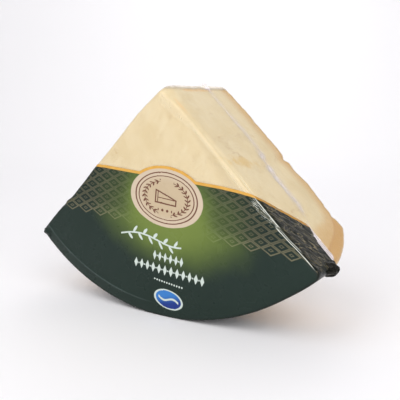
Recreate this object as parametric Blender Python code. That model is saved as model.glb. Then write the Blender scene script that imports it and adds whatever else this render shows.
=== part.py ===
"""A film-wrapped eighth of a hard cheese wheel, standing on its rind with the tip up.

The wheel is halved at mid height and each half cut in four, so the piece is a quarter of a disc
that is half a wheel thick. The front is the mid-height cut, the back is the wheel's flat side, the
two sloping sides are the cuts to the centre, and the curved underside is the rind. Metres, +Z up,
the front faces -Y, and the origin is under the middle of the pack on the surface it stands on.
"""
import math

import bmesh
import bpy
from mathutils import Matrix, Vector, noise

# The wedge
WHEEL_RADIUS = 0.200
HALF_WHEEL = 0.1045  # half the wheel's height, front to back
HALF_ANGLE = math.radians(45)
TIP_ROUND = 0.0050  # the tip is blunt where the film pulls over it
NOSE_DROP = 0.0045  # and rounded down at its front end
NOSE_REACH = 0.0075
NOSE_HEIGHT = 0.016
CORNER_ROUND = 0.0055  # the two corners between a cut side and the rind
FRONT_ROUND = 0.0030
BACK_ROUND = 0.0035

# The rind, which curves in towards the wheel's flat side
HEEL_SWEEP = 0.118  # radius of that curve at the two cut sides
HEEL_START = 0.030  # where it starts behind the front, at the cut sides
HEEL_START_LOW = 0.062  # and at the bottom, where the piece stands and is pressed flat
HEEL_REACH = 0.5  # share of the radius below which the sides keep their place

# The flat that the piece stands on
STAND_RISE = 0.0004

# Broken places along the wheel's flat side: share of the radius, angle, depth, length, width
CHIPS = (
    (0.515, 45, 0.0026, 0.030, 14),
    (0.66, 33, 0.0016, 0.060, 14),
    (0.89, 45, 0.0044, 0.056, 22),
    (0.30, -42, 0.0024, 0.060, 18),
    (0.64, -45, 0.0034, 0.050, 15),
    (0.86, -30, 0.0020, 0.070, 16),
)
TIP_SLOPE = 0.0045  # the back falls away towards the tip
TIP_SLOPE_REACH = 0.020
ROUGHNESS = 0.0006  # height of the uneven cut sides
ROUGHNESS_SIZE = 0.030
ROUGHNESS_FADE = 0.03  # it fades over this distance to the rind

# The film stands a little off the cheese at the two front corners
LEFT_PUCKER = 0.0024
LEFT_PUCKER_FROM = 0.76  # shares of the radius between which it sets in
LEFT_PUCKER_FULL = 0.82
LEFT_PUCKER_POWER = 6  # how closely it keeps to the side
RIGHT_PUCKER = 0.0016
RIGHT_PUCKER_FROM = math.radians(33)
PUCKER_REACH = 0.055  # how far behind the front it fades

# The film gathered at the two lower corners
SEAL_BEHIND = 0.031  # the film's seal, behind the front at the corners
TAIL_WAY = (0.95, 0.25, -0.18)
TAIL_PLEATS = 5
TAIL_REACH = 0.0050
TAIL_THICK = 0.0060
TAIL_WIDTH = 0.0075
EAR_WAY = (-0.97, 0, 0.24)
EAR_PLEATS = 4
EAR_RISE = 0.0030
EAR_BEHIND = 0.0055
EAR_REACH = 0.0034
EAR_THICK = 0.0042
EAR_WIDTH = 0.0060
PLEAT_DEPTH = 0.10  # share of the stub's thickness

# Steps
TIP_STEPS = 6
SIDE_STEPS = 18
CORNER_STEPS = 4
RIND_STEPS = 36
DEPTH_STEPS = 12
ROUND_STEPS = 3
BACK_MIDDLE = 0.45  # share of the radius at which the back's rings close
BACK_RINGS = (0.86, 0.70, 0.52, 0.34, 0.16)
STUB_SEGMENTS = 20
STUB_RINGS = 10

# The surface
SHARP_ANGLE = math.radians(35)
FILM_COLOUR = (0.78, 0.62, 0.38)
FILM_ROUGHNESS = 0.35


def arc(centre, radius, start, end, steps):
    """Points on an arc in the wedge's plane, from start to end, angles from +X."""
    for step in range(steps + 1):
        angle = start + (end - start) * step / steps
        yield (centre[0] + radius * math.cos(angle), centre[1] + radius * math.sin(angle))


def sector(inset):
    """The wedge's outline with rounded corners, moved inwards by inset, clockwise from the tip."""
    tip_centre = WHEEL_RADIUS - TIP_ROUND / math.sin(HALF_ANGLE)
    reach = WHEEL_RADIUS - CORNER_ROUND
    lean = HALF_ANGLE - math.asin(CORNER_ROUND / reach)
    corner = (reach * math.sin(lean), WHEEL_RADIUS - reach * math.cos(lean))
    tip = list(arc((0, tip_centre), TIP_ROUND - inset, math.pi - HALF_ANGLE, HALF_ANGLE, TIP_STEPS))
    low = -math.pi / 2 + lean
    right = list(arc(corner, CORNER_ROUND - inset, HALF_ANGLE, low, CORNER_STEPS))
    side = [
        tuple(a + (b - a) * step / SIDE_STEPS for a, b in zip(tip[-1], right[0]))
        for step in range(1, SIDE_STEPS)
    ]
    rind = list(arc((0, WHEEL_RADIUS), WHEEL_RADIUS - inset, low, -math.pi - low, RIND_STEPS))
    right_half = side + right
    left_half = [(-x, z) for x, z in reversed(right_half)]
    return tip + right_half + rind[1:-1] + left_half


def polar(x, z):
    """Distance from the tip of the uncut wheel, and angle from straight down."""
    return math.hypot(x, WHEEL_RADIUS - z), math.atan2(x, WHEEL_RADIUS - z)


def ramp(value, start, end):
    """Rises smoothly from 0 at start to 1 at end."""
    share = min(1.0, max(0.0, (value - start) / (end - start)))
    return share * share * (3 - 2 * share)


def heel_drop(behind, angle):
    """How far the rind lies inside the wheel's full radius, that far behind the front."""
    at_side = math.sin(angle / HALF_ANGLE * math.pi / 2) ** 2
    start = HEEL_START_LOW + (HEEL_START - HEEL_START_LOW) * at_side
    whole = HEEL_SWEEP - math.sqrt(HEEL_SWEEP**2 - (HALF_WHEEL - HEEL_START) ** 2)
    sweep = (whole**2 + (HALF_WHEEL - start) ** 2) / (2 * whole)
    along = max(0.0, behind - start)
    return sweep - math.sqrt(sweep**2 - along**2)


def thickness(x, z):
    """Front to back at a place of the wedge: half a wheel, less its chips and the slope to the tip."""
    radius, angle = polar(x, z)
    result = HALF_WHEEL - TIP_SLOPE * math.exp(-((radius / TIP_SLOPE_REACH) ** 2))
    for share, degrees, depth, length, width in CHIPS:
        along = (radius - share * WHEEL_RADIUS) / (length / 2)
        across = (angle - math.radians(degrees)) / math.radians(width / 2)
        result -= depth * math.exp(-(along**4) - across**2)
    return result


def place(x, z, behind):
    """A point of the pack, from its place in the outline and its distance behind the front."""
    radius, angle = polar(x, z)
    pull = max(0.0, (radius / WHEEL_RADIUS - HEEL_REACH) / (1 - HEEL_REACH)) ** 2
    radius -= heel_drop(behind, angle) * min(1.0, pull)
    near_front = math.exp(-((behind / PUCKER_REACH) ** 2))
    lower_left = ramp(radius / WHEEL_RADIUS, LEFT_PUCKER_FROM, LEFT_PUCKER_FULL)
    lower_left *= max(0.0, -angle / HALF_ANGLE) ** LEFT_PUCKER_POWER
    angle -= LEFT_PUCKER / WHEEL_RADIUS * near_front * lower_left
    radius += RIGHT_PUCKER * near_front * min(1.0, pull) * ramp(angle, RIGHT_PUCKER_FROM, HALF_ANGLE)
    point = Vector((radius * math.sin(angle), behind, WHEEL_RADIUS - radius * math.cos(angle)))
    nose = math.exp(-((behind / NOSE_REACH) ** 2) - (((WHEEL_RADIUS - point.z) / NOSE_HEIGHT) ** 2))
    point.z -= NOSE_DROP * nose
    from_rind = min(1.0, (WHEEL_RADIUS - radius) / ROUGHNESS_FADE)
    lift = ROUGHNESS * from_rind * noise.noise(point / ROUGHNESS_SIZE)
    point += Vector((math.copysign(lift, angle), 0, lift))
    point.z = max(point.z, STAND_RISE)
    return point


def ring(mesh, inset, behind):
    """One outline of the pack; behind gives the distance behind the front at each place."""
    points = [place(x, z, behind(x, z)) for x, z in sector(inset)]
    verts = [mesh.verts.new(point) for point in points]
    edges = [mesh.edges.new((verts[i - 1], verts[i])) for i in range(len(verts))]
    return verts, edges


def wedge():
    """The whole wrapped piece, lofted from the front through the rounded edges to the back."""
    mesh = bmesh.new()
    rings = []
    for step in range(ROUND_STEPS + 1):
        turn = step / ROUND_STEPS * math.pi / 2
        behind = FRONT_ROUND * (1 - math.cos(turn))
        rings.append(ring(mesh, FRONT_ROUND * (1 - math.sin(turn)), lambda x, z, b=behind: b))
    for step in range(1, DEPTH_STEPS):
        share = step / DEPTH_STEPS
        rings.append(
            ring(mesh, 0, lambda x, z, s=share: FRONT_ROUND
                 + (thickness(x, z) - FRONT_ROUND - BACK_ROUND) * s)
        )
    for step in range(ROUND_STEPS + 1):
        turn = step / ROUND_STEPS * math.pi / 2
        inset = BACK_ROUND * (1 - math.cos(turn))
        rise = BACK_ROUND * (1 - math.sin(turn))
        rings.append(ring(mesh, inset, lambda x, z, r=rise: thickness(x, z) - r))
    for one, other in zip(rings, rings[1:]):
        bmesh.ops.bridge_loops(mesh, edges=one[1] + other[1])
    mesh.faces.new(rings[0][0])

    middle = Vector((0, 0, BACK_MIDDLE * WHEEL_RADIUS))
    last, last_edges = rings[-1]
    base = [vert.co.copy() for vert in last]
    for share in BACK_RINGS:
        verts = []
        for point in base:
            x = middle.x + (point.x - middle.x) * share
            z = middle.z + (point.z - middle.z) * share
            verts.append(mesh.verts.new((x, thickness(x, z), z)))
        edges = [mesh.edges.new((verts[i - 1], verts[i])) for i in range(len(verts))]
        bmesh.ops.bridge_loops(mesh, edges=last_edges + edges)
        last_edges = edges
    mesh.faces.new(verts)
    bmesh.ops.recalc_face_normals(mesh, faces=mesh.faces)
    return mesh


def lobe(name, corner, direction, reach, thick, width, pleats):
    """A bunch of gathered film: a rounded pleated stub that points from a corner in a direction."""
    mesh = bmesh.new()
    bmesh.ops.create_uvsphere(mesh, u_segments=STUB_SEGMENTS, v_segments=STUB_RINGS, radius=1)
    for vert in mesh.verts:
        turn = math.atan2(vert.co.y, vert.co.x)
        pleat = 1 + PLEAT_DEPTH * math.cos(pleats * turn)
        half_length = reach * 2
        vert.co = Vector((vert.co.x * width * pleat, vert.co.y * thick * pleat, vert.co.z * half_length))
    facing = direction.to_track_quat("Z", "Y").to_matrix().to_4x4()
    mesh.transform(Matrix.Translation(corner - direction * reach) @ facing)
    return finish(name, mesh)


def finish(name, mesh):
    """Turns a bmesh into a named object with rounded stretches shaded smooth."""
    data = bpy.data.meshes.new(name)
    mesh.to_mesh(data)
    mesh.free()
    data.shade_smooth()
    data.set_sharp_from_angle(angle=SHARP_ANGLE)
    item = bpy.data.objects.new(name, data)
    bpy.context.collection.objects.link(item)
    return item


def material(name, colour, roughness):
    """A plain surface with one colour."""
    result = bpy.data.materials.new(name)
    result.use_nodes = True
    shader = result.node_tree.nodes["Principled BSDF"]
    shader.inputs["Base Color"].default_value = (*colour, 1)
    shader.inputs["Roughness"].default_value = roughness
    shader.inputs["Metallic"].default_value = 0
    return result


def join(item, others):
    """Fuses other closed shapes into one, and removes them."""
    group = bpy.data.collections.new("fused")
    for other in others:
        group.objects.link(other)
    union = item.modifiers.new("union", "BOOLEAN")
    union.operation = "UNION"
    union.operand_type = "COLLECTION"
    union.collection = group
    bpy.context.view_layer.objects.active = item
    bpy.ops.object.modifier_apply(modifier=union.name)
    for other in others:
        bpy.data.objects.remove(other, do_unlink=True)
    bpy.data.collections.remove(group)


def to_origin(item):
    """Moves the mesh so that its box is centred on the origin and stands on the floor."""
    points = [vert.co for vert in item.data.vertices]
    low = Vector([min(point[axis] for point in points) for axis in range(3)])
    high = Vector([max(point[axis] for point in points) for axis in range(3)])
    item.data.transform(Matrix.Translation((-(low.x + high.x) / 2, -(low.y + high.y) / 2, -low.z)))


def corner(side, behind):
    """The place where a cut side meets the rind, that far behind the front."""
    lean = HALF_ANGLE - math.asin(CORNER_ROUND / (WHEEL_RADIUS - CORNER_ROUND)) / 2
    return Vector((side * WHEEL_RADIUS * math.sin(lean), behind, WHEEL_RADIUS * (1 - math.cos(lean))))


for old in list(bpy.data.objects):
    bpy.data.objects.remove(old, do_unlink=True)

pack = finish("wrapped_wedge", wedge())
tail_root = corner(1, SEAL_BEHIND)
tail_way = Vector(TAIL_WAY).normalized()
tail = lobe("tail", tail_root, tail_way, TAIL_REACH, TAIL_THICK, TAIL_WIDTH, TAIL_PLEATS)
ear_root = corner(-1, EAR_BEHIND) + Vector((0, 0, EAR_RISE))
ear_way = Vector(EAR_WAY).normalized()
ear = lobe("ear", ear_root, ear_way, EAR_REACH, EAR_THICK, EAR_WIDTH, EAR_PLEATS)
join(pack, [tail, ear])
to_origin(pack)
pack.data.materials.append(material("cheese_under_film", FILM_COLOUR, FILM_ROUGHNESS))
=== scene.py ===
"""Looks of a film-wrapped wedge of hard cheese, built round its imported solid."""
from bisect import bisect_right
import math

import bmesh
import bpy
from mathutils import Matrix, Quaternion, Vector, kdtree, noise
from mathutils.bvhtree import BVHTree


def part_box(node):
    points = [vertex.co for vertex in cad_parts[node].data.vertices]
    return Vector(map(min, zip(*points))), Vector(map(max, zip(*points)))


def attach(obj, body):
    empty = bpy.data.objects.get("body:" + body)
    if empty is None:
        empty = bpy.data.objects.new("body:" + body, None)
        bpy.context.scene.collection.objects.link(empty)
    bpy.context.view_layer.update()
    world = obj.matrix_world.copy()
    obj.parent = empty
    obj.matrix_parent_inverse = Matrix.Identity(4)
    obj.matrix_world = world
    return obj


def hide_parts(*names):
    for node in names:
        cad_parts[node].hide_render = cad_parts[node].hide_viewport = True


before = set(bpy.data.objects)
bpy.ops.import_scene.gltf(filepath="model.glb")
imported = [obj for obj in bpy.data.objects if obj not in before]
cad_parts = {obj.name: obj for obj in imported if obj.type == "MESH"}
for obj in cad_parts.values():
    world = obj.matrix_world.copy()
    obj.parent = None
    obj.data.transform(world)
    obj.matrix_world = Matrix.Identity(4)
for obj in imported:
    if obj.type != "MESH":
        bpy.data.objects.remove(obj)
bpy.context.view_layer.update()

# The cheese: an eighth of a pressed wheel, straw coloured and close grained on its three cuts, with
# an ochre rind on the wheel's flat side and round its curved side. Everything else is shut round it.
MM = 0.001
WHEEL_RADIUS = 200 * MM
HALF_ANGLE = math.radians(45)
FRONT_ROUND = (1 * MM, 3 * MM)  # how far back the front's edge turns onto the sides
CHEESE_VOXEL = 1.5 * MM
SMOOTHINGS = 3
RIND_FACING = 0.75  # least share of a normal that points out of the wheel
CHEESE_INSET = 0.35 * MM
EDGE_INSET = 0.9 * MM  # more of it along the right front edge, where the film stands off
EDGE_INSET_FADE = (4 * MM, 9 * MM)
TIP_GAP = 1.8 * MM  # the film bridges the broken tip
TIP_LEFT = 0.12  # how much is left of the height above that
GRAIN_SIZE = 5 * MM
GRAIN_FINER = 2.3
GRAIN_DEPTH = 0.16 * MM
CREASE_RADIUS = 189 * MM  # where the front starts to roll back into the rind
ROLL_DEPTH = 1.1 * MM
EDGE_BAND = 5.5 * MM  # how wide the front's right edge is worn, and near the tip
EDGE_BAND_TIP = 12 * MM
EDGE_BAND_FADE = (22 * MM, 58 * MM)
EDGE_HOLLOW = 0.25 * MM
EDGE_TURN = 6 * MM  # how far back the hollow fades
CRAG_DEPTH = 1.2 * MM  # of the broken edge round the wheel's flat side
CRAG_SIZES = (11 * MM, 4 * MM)
CRAG_FADE = (14 * MM, 2 * MM)  # before the wheel's flat side
LIP_HEIGHT = 1.5 * MM  # of the gathered film on the left front edge
LIP_RADIUS = 153 * MM
LIP_REACH = 4 * MM
PLEAT_HEIGHT = 1.0 * MM  # of the film's pleats on the wheel's flat side
PLEAT_SIZE = 24 * MM
PLEAT_PATCH = 60 * MM
PLEAT_FADE = (90 * MM, 101 * MM)
CHIPS = ((95, 3.0, 2.4), (162, 2.5, 1.6))  # right back edge: distance from the axis, reach, depth
CHIP_BARE = 12  # how much less ochre the first chip shows, in millimetres, and how far from it
CHIP_BARE_REACH = 6 * MM
TIP_STRETCH = 1.8  # how much narrower the ochre is towards the tip
TIP_STRETCH_FADE = (0.74 * WHEEL_RADIUS, 0.86 * WHEEL_RADIUS)
ROUND_SCALE = 100  # from an angle to a length round the axis, in millimetres at half the radius
RIGHT_CUT = (60, 70)  # such lengths between which the right cut starts

low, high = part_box("wrapped_wedge")
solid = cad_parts["wrapped_wedge"]
DEPTH = high.y - low.y
tip_points = [vert.co.x for vert in solid.data.vertices if vert.co.z > high.z - 2 * MM]
AXIS_X = (min(tip_points) + max(tip_points)) / 2


def behind(point):
    """How far a point lies behind the front."""
    return point.y - low.y


def polar(point):
    """Distance from the wheel's axis, and angle from straight down, to the right."""
    across = point.x - AXIS_X
    down = WHEEL_RADIUS - point.z
    return math.hypot(across, down), math.atan2(across, down)


def ramp(value, start, end):
    """Rises smoothly from 0 at start to 1 at end."""
    share = min(1.0, max(0.0, (value - start) / (end - start)))
    return share * share * (3 - 2 * share)


def bell(value, centre, reach):
    """1 at the centre, fading to both sides."""
    return math.exp(-(((value - centre) / reach) ** 2))


def on_front(point):
    """1 on the front, 0 past its rounded edge."""
    return 1 - ramp(behind(point), *FRONT_ROUND)


def linear(red, green, blue):
    """A colour given in screen values from 0 to 255, as the shaders want it."""
    parts = []
    for part in (red, green, blue):
        share = part / 255
        parts.append(share / 12.92 if share <= 0.04045 else ((share + 0.055) / 1.055) ** 2.4)
    return (*parts, 1.0)


def new_piece(name, mesh):
    """A smooth object made of a bmesh, which is used up."""
    data = bpy.data.meshes.new(name)
    mesh.to_mesh(data)
    mesh.free()
    data.shade_smooth()
    piece = bpy.data.objects.new(name, data)
    bpy.context.scene.collection.objects.link(piece)
    return piece


def welded_solid():
    """The solid's mesh with its loose triangles joined."""
    mesh = bmesh.new()
    mesh.from_mesh(solid.data)
    bmesh.ops.remove_doubles(mesh, verts=mesh.verts, dist=0.01 * MM)
    return mesh


mesh = welded_solid()
solid_tree = BVHTree.FromBMesh(mesh)
mesh.free()


def skin(name, voxel):
    """A new piece with the solid's surface in even small faces, smooth where the solid is faceted."""
    piece = new_piece(name, welded_solid())
    coarse = piece.data
    remesh = piece.modifiers.new("even", "REMESH")
    remesh.mode = "VOXEL"
    remesh.voxel_size = voxel
    depsgraph = bpy.context.evaluated_depsgraph_get()
    even = bpy.data.meshes.new_from_object(piece.evaluated_get(depsgraph))
    piece.modifiers.clear()
    piece.data = even
    bpy.data.meshes.remove(coarse)
    mesh = bmesh.new()
    mesh.from_mesh(even)
    for vert in mesh.verts:
        vert.co = solid_tree.find_nearest(vert.co)[0]
    every_way = {"use_axis_x": True, "use_axis_y": True, "use_axis_z": True}
    for _ in range(SMOOTHINGS):
        bmesh.ops.smooth_vert(mesh, verts=mesh.verts, factor=0.5, **every_way)
    mesh.to_mesh(even)
    mesh.free()
    even.shade_smooth()
    return piece


def reshape(piece, move):
    """Gives every vertex the place that move returns for its place and its normal."""
    mesh = bmesh.new()
    mesh.from_mesh(piece.data)
    mesh.normal_update()
    places = [move(vert.co.copy(), vert.normal.copy()) for vert in mesh.verts]
    for vert, place in zip(mesh.verts, places):
        vert.co = place
        vert.co.z = max(vert.co.z, low.z)
    mesh.to_mesh(piece.data)
    mesh.free()
    piece.data.update()


def paint(piece, name, value, kind="FLOAT"):
    """Stores a number or a vector at every vertex, from its place and its normal."""
    layer = piece.data.attributes.new(name, kind, "POINT")
    normals = piece.data.vertex_normals
    values = [value(vert.co, normals[vert.index].vector) for vert in piece.data.vertices]
    if kind == "FLOAT":
        layer.data.foreach_set("value", values)
    else:
        layer.data.foreach_set("vector", [part for vector in values for part in vector])


def wheel_side(point, normal):
    """True on the rind: the wheel's flat side, its curved side, and the round between them."""
    angle = polar(point)[1]
    outward = normal.dot(Vector((math.sin(angle), 0, -math.cos(angle))))
    return normal.y > -0.3 and math.hypot(normal.y, max(0.0, outward)) > RIND_FACING


class Wire:
    """One output of a material's node. Arithmetic on it adds Math nodes."""

    def __init__(self, finish, socket):
        self.finish = finish
        self.socket = socket

    def math(self, operation, *others):
        return self.finish.reckon(operation, self, *others)

    def __add__(self, other):
        return self.math("ADD", other)

    def __radd__(self, other):
        return self.finish.reckon("ADD", other, self)

    def __sub__(self, other):
        return self.math("SUBTRACT", other)

    def __rsub__(self, other):
        return self.finish.reckon("SUBTRACT", other, self)

    def __mul__(self, other):
        return self.math("MULTIPLY", other)

    def __rmul__(self, other):
        return self.finish.reckon("MULTIPLY", other, self)

    def __truediv__(self, other):
        return self.math("DIVIDE", other)

    def __pow__(self, other):
        return self.math("POWER", other)

    def __gt__(self, other):
        return self.math("GREATER_THAN", other)

    def __lt__(self, other):
        return self.math("LESS_THAN", other)

    def __abs__(self):
        return self.math("ABSOLUTE")

    def most(self, other):
        return self.math("MAXIMUM", other)

    def least(self, other):
        return self.math("MINIMUM", other)

    def fract(self):
        return self.math("FRACT")

    def floor(self):
        return self.math("FLOOR")

    def sine(self):
        return self.math("SINE")


class Finish:
    """A material, and the one way in which its nodes are added."""

    def __init__(self, name):
        self.material = bpy.data.materials.new(name)
        self.material.use_nodes = True
        self.tree = self.material.node_tree
        self.tree.nodes.clear()

    def add(self, kind, settings, values, output=0):
        """A node: its settings first, then the value or link of each socket by name or number."""
        node = self.tree.nodes.new(kind)
        for name, setting in settings.items():
            setattr(node, name, setting)
        for key, value in values.items():
            if isinstance(value, Wire):
                self.tree.links.new(value.socket, node.inputs[key])
            else:
                node.inputs[key].default_value = value
        return Wire(self, node.outputs[output]) if node.outputs else None

    def reckon(self, operation, *values):
        return self.add("ShaderNodeMath", {"operation": operation}, dict(enumerate(values)))

    def place(self):
        """Object coordinates in millimetres."""
        raw = self.add("ShaderNodeTexCoord", {}, {}, "Object")
        return self.add("ShaderNodeVectorMath", {"operation": "SCALE"}, {0: raw, "Scale": 1 / MM})

    def stored(self, name, output="Fac"):
        """What paint stored at the vertices."""
        settings = {"attribute_type": "GEOMETRY", "attribute_name": name}
        return self.add("ShaderNodeAttribute", settings, {}, output)

    def part(self, vector, axis):
        return self.add("ShaderNodeSeparateXYZ", {}, {0: vector}, axis)

    def noise(self, place, size, detail=3.0, roughness=0.55, warp=0.0):
        """Soft noise from 0 to 1, with features of about that size in the units of place."""
        values = {"Vector": place, "Scale": 1 / size, "Detail": detail, "Roughness": roughness,
                  "Distortion": warp}
        return self.add("ShaderNodeTexNoise", {"noise_dimensions": "3D"}, values)

    def stretch(self, place, turn, scale):
        """Coordinates in which a pattern lies turned, and is stretched along its own axes."""
        values = {"Vector": place, "Rotation": turn, "Scale": scale}
        return self.add("ShaderNodeMapping", {"vector_type": "TEXTURE"}, values)

    def step(self, value, start, end, low_end=0.0, high_end=1.0):
        """Rises smoothly between two values."""
        values = {0: value, 1: start, 2: end, 3: low_end, 4: high_end}
        return self.add("ShaderNodeMapRange", {"interpolation_type": "SMOOTHSTEP"}, values)

    def line(self, value, edge, core):
        """1 where the value is within the core of 0, fading to 0 at the edge, on both sides."""
        return self.step(abs(value), edge, core)

    def blend(self, share, under, over):
        """Puts the colour over on the colour under, by a share."""
        return self.add("ShaderNodeMix", {"data_type": "RGBA"}, {0: share, 6: under, 7: over}, 2)

    def bump(self, height, depth, strength):
        values = {"Strength": strength, "Distance": depth, "Height": height}
        return self.add("ShaderNodeBump", {}, values)

    def shader(self, values):
        return self.add("ShaderNodeBsdfPrincipled", {}, values)

    def end(self, surface):
        self.add("ShaderNodeOutputMaterial", {}, {"Surface": surface})
        return self.material


cheese = skin("cheese", CHEESE_VOXEL)


def along_edge(point):
    """How far a point of the front lies inside the nearer of its two side edges."""
    radius, angle = polar(point)
    return radius * math.sin(HALF_ANGLE - abs(angle))


def ridged(point, size):
    """Sharp-topped noise, as shrunk film has."""
    return 1 - 2 * abs(noise.noise(point / size))


def edge_band(radius):
    """How wide the worn band is, at a distance from the axis."""
    return EDGE_BAND_TIP + (EDGE_BAND - EDGE_BAND_TIP) * ramp(radius, *EDGE_BAND_FADE)


def worn(point):
    """How far the piece is worn back along its edges and near the rind, which every layer follows."""
    radius, angle = polar(point)
    back = behind(point)
    roll = ROLL_DEPTH * ramp(radius, CREASE_RADIUS, WHEEL_RADIUS)
    band = (1 - ramp(along_edge(point), 0, edge_band(radius))) * (1.0 if angle > 0 else 0.0)
    front = roll * on_front(point) + EDGE_HOLLOW * band * (1 - ramp(back, 0, EDGE_TURN))
    coarse, fine = (noise.noise(point / size) for size in CRAG_SIZES)
    depth = CRAG_DEPTH * max(0.0, coarse + 0.5 * fine)
    if angle > 0:
        depth += sum(deep * MM * bell(radius, place * MM, reach * MM) for place, reach, deep in CHIPS)
    drawn = Vector((point.x * 0.8 - point.z * 0.35, 0, point.z * 0.25))
    pleats = PLEAT_HEIGHT * max(0.0, ridged(drawn, PLEAT_SIZE) - 0.5)
    pleats *= ramp(noise.noise(point / PLEAT_PATCH), -0.15, 0.2) * ramp(back, *PLEAT_FADE)
    lip = LIP_HEIGHT * bell(radius, LIP_RADIUS, LIP_REACH) * bell(along_edge(point), 0, LIP_REACH)
    lip *= bell(back, 0, 2 * LIP_REACH) * (1.0 if angle < 0 else 0.0)
    return front - pleats - lip + depth * ramp(back, DEPTH - CRAG_FADE[0], DEPTH - CRAG_FADE[1])


def cheese_place(point, normal):
    """The pressed paste: a little inside the film, fine grained, with its tip broken off short."""
    point = point - normal * worn(point)
    grain = noise.noise(point / GRAIN_SIZE) + 0.5 * noise.noise(point / GRAIN_SIZE * GRAIN_FINER)
    radius, angle = polar(point)
    by_edge = (1 - ramp(along_edge(point), 0, 1.2 * edge_band(radius))) * (1 if angle > 0 else 0)
    by_edge *= 1 - ramp(behind(point), *EDGE_INSET_FADE)
    point = point - normal * (CHEESE_INSET + EDGE_INSET * by_edge - GRAIN_DEPTH * grain)
    limit = high.z - TIP_GAP
    if point.z > limit:
        point.z = limit + (point.z - limit) * TIP_LEFT
    return point


rind_places = [
    vert.co.copy()
    for vert in cheese.data.vertices
    if wheel_side(vert.co, cheese.data.vertex_normals[vert.index].vector)
]
rind_tree = kdtree.KDTree(len(rind_places))
for index, rind_place in enumerate(rind_places):
    rind_tree.insert(rind_place, index)
rind_tree.balance()


def rind_distance(point, normal):
    """Distance from the rind in millimetres, stretched towards the tip, where less ochre shows."""
    radius, angle = polar(point)
    stretch = 1 + TIP_STRETCH * (1 - ramp(radius, *TIP_STRETCH_FADE))
    chipped = CHIP_BARE * bell(radius, CHIPS[0][0] * MM, CHIP_BARE_REACH) * ramp(angle, 0, HALF_ANGLE)
    return max(0.0, rind_tree.find(point)[2] / MM * stretch - chipped)


def wheel_place(point, normal):
    """Distance from the axis, distance round it and distance back, in millimetres."""
    radius, angle = polar(point)
    return Vector((radius / MM, angle * ROUND_SCALE, behind(point) / MM))


paint(cheese, "on_rind", wheel_side)
reshape(cheese, cheese_place)
paint(cheese, "from_rind", rind_distance)
paint(cheese, "wheel_place", wheel_place, "FLOAT_VECTOR")

paste = Finish("pressed_paste_and_rind")
place = paste.place()
wheel = paste.stored("wheel_place", "Vector")
from_axis = paste.part(wheel, "X")
round_axis = paste.part(wheel, "Y")
backward = paste.part(wheel, "Z")
on_right = paste.step(round_axis, *RIGHT_CUT)

# straw-coloured paste, mottled and flaky, with hairline cracks
STRAW = linear(221, 205, 169)
DEEP_STRAW = linear(215, 197, 157)
FLAKE = linear(228, 216, 186)
SPECK = linear(218, 190, 138)
CRACK = linear(190, 158, 112)
CRACKED_PLACE = (73, 27)  # from the axis and back, on the right cut
mottle = paste.noise(place, 26, 4)
fine = paste.noise(place, 3.2, 3)
flakes = paste.noise(paste.stretch(place, (0, 0.5, 0), (1, 1, 2.2)), 9, 4, 0.6, 0.4)
colour = paste.blend(paste.step(mottle, 0.38, 0.66), STRAW, DEEP_STRAW)
colour = paste.blend(paste.step(flakes, 0.5, 0.72) * 0.35, colour, FLAKE)
colour = paste.blend(paste.step(fine, 0.55, 0.75) * 0.18, colour, SPECK)
hairline = abs(paste.noise(paste.stretch(wheel, (0, 0, 0.6), (1, 1, 2.5)), 11, 3, 0.6, 0.8) - 0.5)
cracked = paste.line(from_axis - CRACKED_PLACE[0], 18, 8) * paste.line(backward - CRACKED_PLACE[1], 18, 8)
cracked = (cracked * on_right).most(paste.step(paste.noise(place, 18, 2), 0.56, 0.66))
cracks = paste.step(hairline, 0.014, 0.003) * cracked
colour = paste.blend(cracks * 0.6, colour, CRACK)

# ochre that deepens towards the rind, in a wide soft band and a narrow one with a darker edge
OCHRE_SHADE = linear(202, 160, 94)
OCHRE_BAND = linear(196, 150, 80)
OCHRE_EDGE = linear(186, 130, 58)
ragged = paste.stored("from_rind") + (paste.noise(place, 12, 3) - 0.5) * 6
colour = paste.blend(paste.step(ragged, 58, 12) * 0.74, colour, OCHRE_SHADE)
colour = paste.blend(paste.step(ragged, 13.5, 10.5) * 0.8, colour, OCHRE_BAND)
colour = paste.blend(paste.line(ragged - 12.5, 1.6, 0.6) * 0.45, colour, OCHRE_EDGE)

# the right cut: painted shade on the round where the front edge turns onto it, a smudge, and creases of
# film at the tip
EDGE_SHADE_COLOUR = linear(200, 182, 144)
SMUDGE = linear(212, 180, 112)
SMUDGE_PLACE = (84, 26)
SMUDGE_REACH = (8, 23)
SMUDGE_LEAN = 0.25
TIP_LINE = linear(222, 176, 112)
EDGE_LINE = linear(226, 184, 124)
# painted shade on the round between the front and the right cut
painted_edge_shade = paste.step(backward, 0.2, 1.4) * paste.step(backward, 5.0, 3.2) * on_right
colour = paste.blend(painted_edge_shade * 0.55, colour, EDGE_SHADE_COLOUR)
smudge_across = (from_axis - backward * SMUDGE_LEAN - SMUDGE_PLACE[0]) / SMUDGE_REACH[0]
smudge_back = (backward - SMUDGE_PLACE[1]) / SMUDGE_REACH[1]
smudge = (smudge_across ** 2 + smudge_back ** 2) ** 0.5 + (paste.noise(wheel, 8, 4, 0.65) - 0.5) * 2.4
colour = paste.blend(paste.step(smudge, 1.0, 0.2) * on_right * 0.7, colour, SMUDGE)
tip_line = paste.line(from_axis - 8.5, 2.6, 0.8) * on_right
tip_line = tip_line * paste.step(backward, 22, 30) * paste.step(backward, 78, 62)
colour = paste.blend(tip_line * 0.55, colour, TIP_LINE)
edge_line = paste.line(backward - 5.5, 2.4, 0.8) * paste.step(from_axis, 42, 24) * on_right
colour = paste.blend(edge_line * 0.4, colour, EDGE_LINE)

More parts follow.
